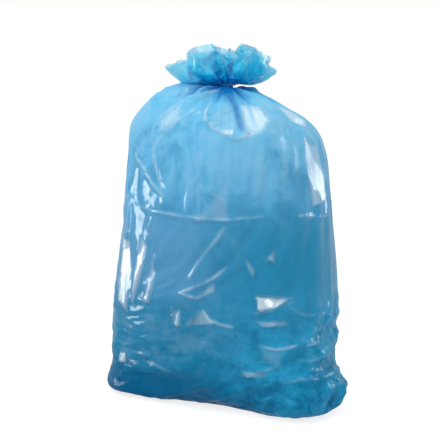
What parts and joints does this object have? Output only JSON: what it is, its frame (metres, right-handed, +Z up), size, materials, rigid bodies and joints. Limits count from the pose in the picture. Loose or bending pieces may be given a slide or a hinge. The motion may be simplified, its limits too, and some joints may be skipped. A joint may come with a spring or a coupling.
{
  "type": "garbage bag",
  "caption": "Filled garbage bag of thin blue film, standing on its base, gathered at the neck by a narrow tie under a ruffle of loose film.",
  "frame": {"origin": "middle of the footprint, on the surface that the bag stands on", "axes": "+Z up along the bag, +X along its wide side to the right as seen from the front, -Y to the front"},
  "size_m": [0.539, 0.4012, 0.7532],
  "materials": {
    "film": "thin glossy translucent film",
    "tie": "satin"
  },
  "bodies": {
    "root": {"bag": "film", "neck_tie": "tie"}
  },
  "joints": []
}
